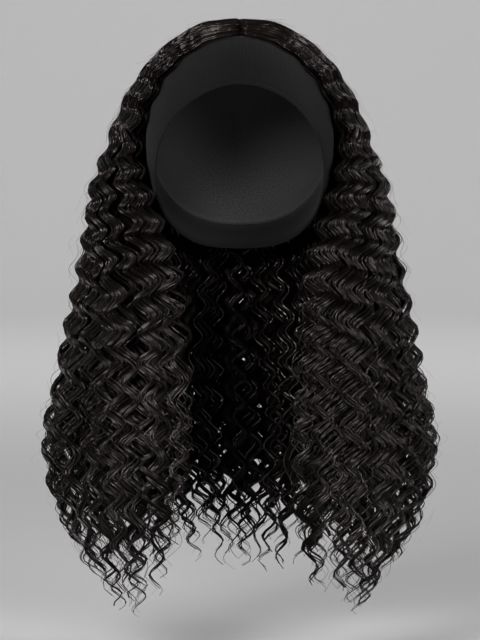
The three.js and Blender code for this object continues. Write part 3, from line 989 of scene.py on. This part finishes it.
hair_pieces = []
for number, (place, section_from) in enumerate(sections):
    for side, hand in ((1, "left"), (-1, "right")):
        seed = first_seed + number * seeds_a_section + (side > 0)
        piece = hair_section(f"{place}_locks_{hand}", f"{place}_hair_{hand}", section_from, side, seed)
        hair_pieces.append(piece)
        print(piece.name, "triangles:", triangles(piece),
              "volume:", round(signed_volume(piece.data) * 1e6, 1), "ml")
print("triangles in all:", sum(triangles(piece) for piece in [headband, stretch_cap, *hair_pieces]))

# %% [markdown]
# ## Finishes
# Hair, knit and net are all made of fine threads. Each could have its own noise, but one
# shader group, used by all three, draws threads that are long one way and fine the other.

# %% Thread group
def new_socket(group, name, direction, kind, value=None):
    made = group.interface.new_socket(name=name, in_out=direction, socket_type=kind)
    if value is not None:
        made.default_value = value


# Threads and Breaks count for one whole step of the UV map, which is a metre on the hair.
threads = bpy.data.node_groups.new("threads", "ShaderNodeTree")
new_socket(threads, "Vector", "INPUT", "NodeSocketVector")
new_socket(threads, "Threads", "INPUT", "NodeSocketFloat", 1000.0)
new_socket(threads, "Breaks", "INPUT", "NodeSocketFloat", 20.0)
new_socket(threads, "Mask", "OUTPUT", "NodeSocketFloat")
group_in = threads.nodes.new("NodeGroupInput")
group_out = threads.nodes.new("NodeGroupOutput")
stretch = threads.nodes.new("ShaderNodeCombineXYZ")
scaled = threads.nodes.new("ShaderNodeVectorMath")
scaled.operation = "MULTIPLY"
noise = threads.nodes.new("ShaderNodeTexNoise")
noise.inputs["Scale"].default_value = 1.0
noise.inputs["Detail"].default_value = 2.5
noise.inputs["Roughness"].default_value = 0.6
threads.links.new(group_in.outputs["Threads"], stretch.inputs["X"])
threads.links.new(group_in.outputs["Breaks"], stretch.inputs["Y"])
threads.links.new(group_in.outputs["Vector"], scaled.inputs[0])
threads.links.new(stretch.outputs["Vector"], scaled.inputs[1])
threads.links.new(scaled.outputs["Vector"], noise.inputs["Vector"])
threads.links.new(noise.outputs["Fac"], group_out.inputs["Mask"])
print("group sockets:", [item.name for item in threads.interface.items_tree])


# %% Building a material
def new_material(name, rough, specular):
    """A material with a Principled shader and a UV Map node, and a way to add to them."""
    material = bpy.data.materials.new(name)
    material.use_nodes = True
    tree = material.node_tree
    shader = tree.nodes["Principled BSDF"]
    shader.inputs["Roughness"].default_value = rough
    shader.inputs["Specular IOR Level"].default_value = specular
    uv = tree.nodes.new("ShaderNodeUVMap")
    uv.uv_map = "UVMap"
    return material, tree, shader, uv


def add_threads(tree, uv, fine, breaks):
    """The thread group, laid along the piece's UV map."""
    node = tree.nodes.new("ShaderNodeGroup")
    node.node_tree = threads
    node.inputs["Threads"].default_value = fine
    node.inputs["Breaks"].default_value = breaks
    tree.links.new(uv.outputs["UV"], node.inputs["Vector"])
    return node


def add_ramp(tree, source, stops):
    """A colour ramp through (place, colour) stops, fed by a value."""
    ramp = tree.nodes.new("ShaderNodeValToRGB")
    points = ramp.color_ramp.elements
    while len(points) < len(stops):
        points.new(0.5)
    for point, (place, colour) in zip(points, stops):
        point.position = place
        point.color = (*colour, 1)
    tree.links.new(source, ramp.inputs["Fac"])
    return ramp


def add_bump(tree, shader, height, distance, strength):
    """Fine relief that is too small for the mesh."""
    bump = tree.nodes.new("ShaderNodeBump")
    bump.inputs["Distance"].default_value = distance
    bump.inputs["Strength"].default_value = strength
    tree.links.new(height, bump.inputs["Height"])
    tree.links.new(bump.outputs["Normal"], shader.inputs["Normal"])


print("material helpers ready")

# %% [markdown]
# ## Hair finish
# A real lock has thousands of hairs, and those inside it lie in the shade of the rest. The
# few strands modelled here let more light in, so the cores and the lower layers take a second
# material, darker and duller: painted shade for the hairs that are not modelled. Both are glossy along the
# strand and spread their shine across it.

# %% Hair finishes
def hair_finish(name, rough, specular, colours, glosses):
    """Black-brown hair: colours and roughnesses follow the fine threads of each strand."""
    material, tree, shader, uv = new_material(name, rough, specular)
    shader.inputs["Anisotropic"].default_value = 0.6
    shader.inputs["Specular Tint"].default_value = (1.0, 0.9, 0.88, 1)
    across_strand = tree.nodes.new("ShaderNodeTangent")
    across_strand.direction_type = "UV_MAP"
    across_strand.uv_map = "UVMap"
    tree.links.new(across_strand.outputs["Tangent"], shader.inputs["Tangent"])
    hairs = add_threads(tree, uv, fine=900, breaks=120)
    tint = add_ramp(tree, hairs.outputs["Mask"], list(zip((0.3, 0.5, 0.72), colours)))
    gloss = add_ramp(tree, hairs.outputs["Mask"],
                     [(place, (value, value, value)) for place, value in zip((0.3, 0.7), glosses)])
    tree.links.new(tint.outputs["Color"], shader.inputs["Base Color"])
    tree.links.new(gloss.outputs["Color"], shader.inputs["Roughness"])
    add_bump(tree, shader, hairs.outputs["Mask"], distance=0.0006, strength=0.5)
    return material


outer_hair = hair_finish("deep_wave_hair", 0.25, 0.45,
                         [(0.001, 0.0005, 0.0004), (0.0026, 0.0014, 0.0012), (0.011, 0.007, 0.0055)],
                         (0.27, 0.17))
# The second material is painted shade: the same hair, darker and with little shine, for cores and lower
# layers.
painted_shade_hair = hair_finish("hair_painted_in_shade", 0.45, 0.08,
                         [(0.0006, 0.0004, 0.0003), (0.0014, 0.0009, 0.0008), (0.004, 0.0026, 0.0022)],
                         (0.5, 0.4))
for piece in hair_pieces:
    piece.data.materials.append(outer_hair)
    piece.data.materials.append(painted_shade_hair)
print("hair finishes:", [material.name for material in hair_pieces[0].data.materials])

# %% [markdown]
# ## Knit finish
# The band is a soft matt knit, nearly as dark as the hair but with no shine. Its ribs are in
# the mesh, so the finish adds only the yarn, as a faint change of colour and a fine bump.

# %% Knit finish
knit, tree, shader, uv = new_material("rib_knit", 0.9, 0.07)
shader.inputs["Sheen Weight"].default_value = 0.03
shader.inputs["Sheen Roughness"].default_value = 0.6
yarn = add_threads(tree, uv, fine=900, breaks=260)
tint = add_ramp(tree, yarn.outputs["Mask"],
                [(0.3, (0.0023, 0.0021, 0.0025)), (0.7, (0.0047, 0.0044, 0.005))])
tree.links.new(tint.outputs["Color"], shader.inputs["Base Color"])
add_bump(tree, shader, yarn.outputs["Mask"], distance=0.0004, strength=0.6)
headband.data.materials.append(knit)
print("knit nodes:", len(tree.nodes))

# %% [markdown]
# ## Net finish
# The cap is a stretch net. It is seen only from inside and lies in shade, so it needs no real
# holes: coarse threads both ways, a little lighter than the hair, are enough.

# %% Net finish
net, tree, shader, uv = new_material("cap_net", 0.85, 0.25)
mesh_lines = add_threads(tree, uv, fine=420, breaks=300)
tint = add_ramp(tree, mesh_lines.outputs["Mask"],
                [(0.35, (0.01, 0.01, 0.0105)), (0.65, (0.035, 0.034, 0.035))])
tree.links.new(tint.outputs["Color"], shader.inputs["Base Color"])
add_bump(tree, shader, mesh_lines.outputs["Mask"], distance=0.0004, strength=0.6)
stretch_cap.data.materials.append(net)
print("net nodes:", len(tree.nodes))

# %% [markdown]
# The dressed wig has to stay inside the frame's box, apart from the crests of its waves and a
# few stray hairs, which may stand a little proud. So both boxes are measured and compared.

# %% Write both boxes and finish
visual_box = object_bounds()
for label, low, high in zip("xyz", *[(np.array(visual_box[0]) - frame_box[0]) * 1000,
                                     (np.array(visual_box[1]) - frame_box[1]) * 1000]):
    print(label, "low side", round(low, 1), "mm, high side", round(high, 1), "mm from the frame's box")
